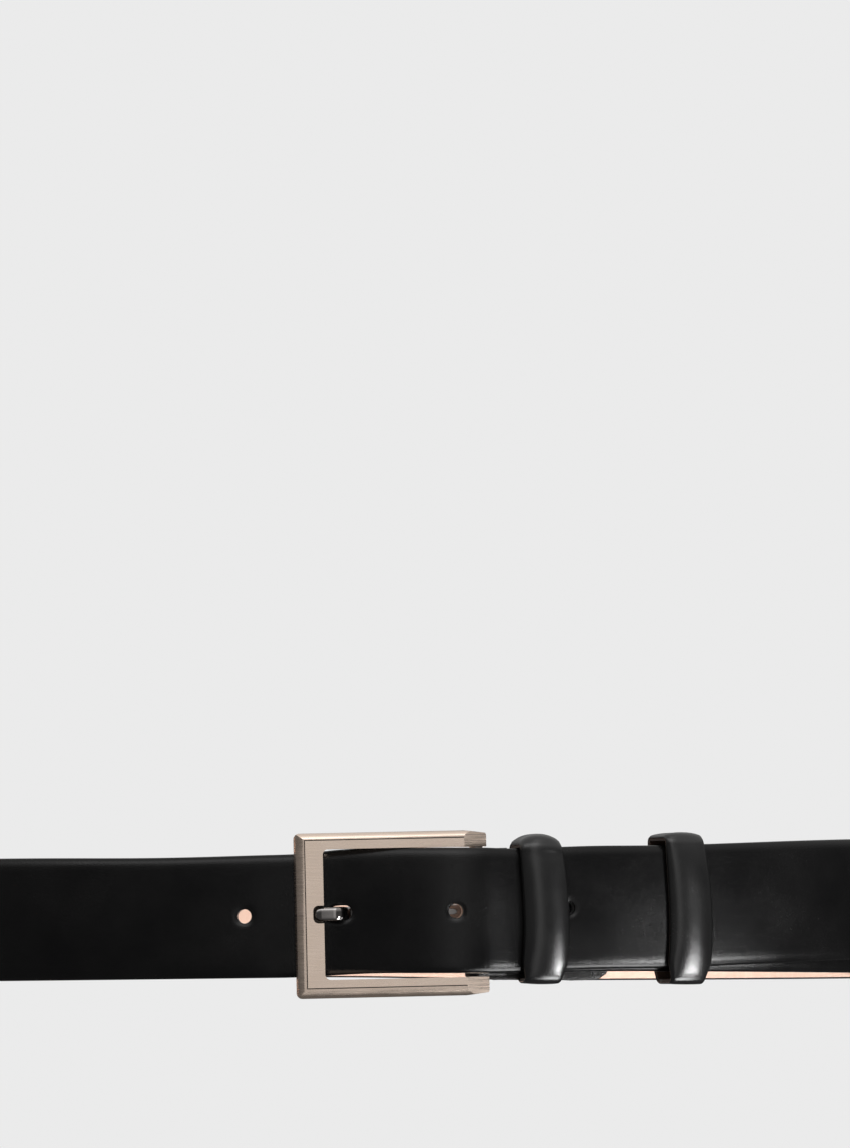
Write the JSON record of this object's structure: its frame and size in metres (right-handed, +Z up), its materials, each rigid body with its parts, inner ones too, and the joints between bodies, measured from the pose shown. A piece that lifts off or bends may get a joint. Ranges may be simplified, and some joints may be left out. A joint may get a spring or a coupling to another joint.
{
  "type": "leather belt",
  "caption": "Dress belt of lined leather strap with a square frame buckle, prong, padded fixed and free keepers, fastened in an oval loop that stands on its edge.",
  "frame": {"origin": "middle of the belt's box, on the level of the buckle's lowest corner", "axes": "+X along the buckled strap to the wearer's left at the buckle, +Y from the buckle to the back of the loop, +Z up"},
  "size_m": [0.3428, 0.2484, 0.0409],
  "materials": {
    "strap_leather": "smooth polished black grain leather",
    "lining_leather": "natural pinkish beige split leather, matte",
    "filler_board": "bonded leather board",
    "keeper_leather": "smooth polished black leather over padding",
    "keeper_padding": "soft filler",
    "keeper_lining": "dark brown lining leather",
    "thread": "waxed polyester thread",
    "buckle_metal": "satin nickel plate, brushed along the bars",
    "prong_metal": "polished dark nickel",
    "pin_steel": "drawn steel"
  },
  "bodies": {
    "root": {"buckle_strap_outer": "strap_leather", "buckle_strap_core": "filler_board", "buckle_strap_lining": "lining_leather", "fold_stitching": "thread", "fixed_keeper_band": "keeper_leather", "fixed_keeper_padding": "keeper_padding", "fixed_keeper_lining": "keeper_lining", "fixed_keeper_staple": "pin_steel"},
    "tail": {"tail_strap_outer": "strap_leather", "tail_strap_core": "filler_board", "tail_strap_lining": "lining_leather"},
    "buckle": {"buckle_frame": "buckle_metal", "heel_bar": "pin_steel"},
    "prong": {"prong": "prong_metal"},
    "free_keeper": {"free_keeper_band": "keeper_leather", "free_keeper_padding": "keeper_padding", "free_keeper_lining": "keeper_lining", "free_keeper_staple": "pin_steel"}
  },
  "joints": [
    {"name": "loop_open", "type": "hinge", "parent": "root", "child": "tail", "pos_m": [0, 0.12419, 0.02053], "axis": [0, 0, -1], "range_deg": [0, 54], "deforming": ["tail_strap_outer", "tail_strap_core", "tail_strap_lining"]},
    {"name": "buckle_turn", "type": "hinge", "parent": "root", "child": "buckle", "pos_m": [0.04075, -0.11533, 0.02101], "axis": [-0.0226, -0.0022, 0.9997], "range_deg": [0, 36]},
    {"name": "prong_turn", "type": "hinge", "parent": "buckle", "child": "prong", "pos_m": [0.04075, -0.11533, 0.02101], "axis": [-0.0226, -0.0022, 0.9997], "range_deg": [0, 60]},
    {"name": "keeper_slide", "type": "hinge", "parent": "root", "child": "free_keeper", "pos_m": [0.01253, 0.07438, 0.02053], "axis": [0, 0, 1], "range_deg": [-5, 4]}
  ],
  "couplings": [
    {"joint": "buckle_turn", "follows": "loop_open", "ratio": 0.6},
    {"joint": "prong_turn", "follows": "loop_open", "ratio": 1}
  ]
}
